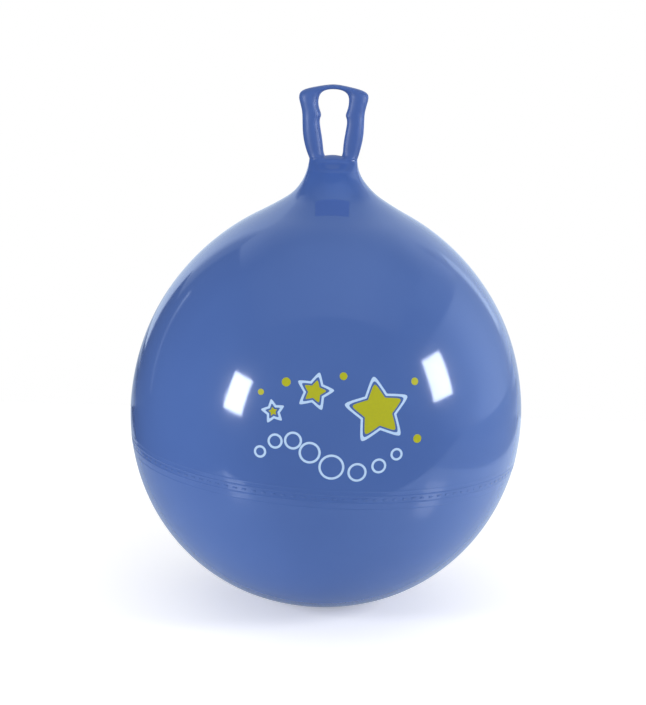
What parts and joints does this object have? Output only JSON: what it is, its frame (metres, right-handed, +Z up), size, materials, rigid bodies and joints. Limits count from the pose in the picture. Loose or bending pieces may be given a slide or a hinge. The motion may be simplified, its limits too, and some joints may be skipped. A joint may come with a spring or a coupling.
{
  "type": "hopper ball",
  "caption": "Blown-up hopper ball with a soft neck, a ring handle on top to hold on to and a pull-out valve plug in its back.",
  "frame": {"origin": "bottom centre of the bounding box: the middle of the flattened foot that the ball rests on", "axes": "+Z up along the ball's axis through the neck and the handle, the ring handle spans X, the front looks along -Y and the valve is at +Y"},
  "size_m": [0.6599, 0.66, 0.8764],
  "materials": {
    "blue_vinyl": "glossy soft vinyl, one moulding",
    "white_plastic": "satin polyethylene"
  },
  "bodies": {
    "ball": {"lower_skin": "blue_vinyl", "seam_band": "blue_vinyl", "upper_skin": "blue_vinyl", "shoulder": "blue_vinyl", "neck": "blue_vinyl", "valve_seat": "blue_vinyl"},
    "collar": {"neck_collar": "blue_vinyl"},
    "handle": {"handle_ring": "blue_vinyl"},
    "plug": {"valve_plug": "white_plastic"}
  },
  "joints": [
    {"name": "neck_bend", "type": "hinge", "parent": "ball", "child": "collar", "pos_m": [0, 0, 0.714], "axis": [1, 0, 0], "range_deg": [-25, 25], "stiffness_Nm_per_rad": 6, "deforming": ["neck"]},
    {"name": "neck_sway", "type": "hinge", "parent": "collar", "child": "handle", "pos_m": [0, 0, 0.748], "axis": [0, 1, 0], "range_deg": [-15, 15], "stiffness_Nm_per_rad": 6, "deforming": ["neck_collar"]},
    {"name": "plug_pull", "type": "slide", "parent": "ball", "child": "plug", "axis": [0, 0.9994, 0.0349], "range_m": [0, 0.018]}
  ]
}
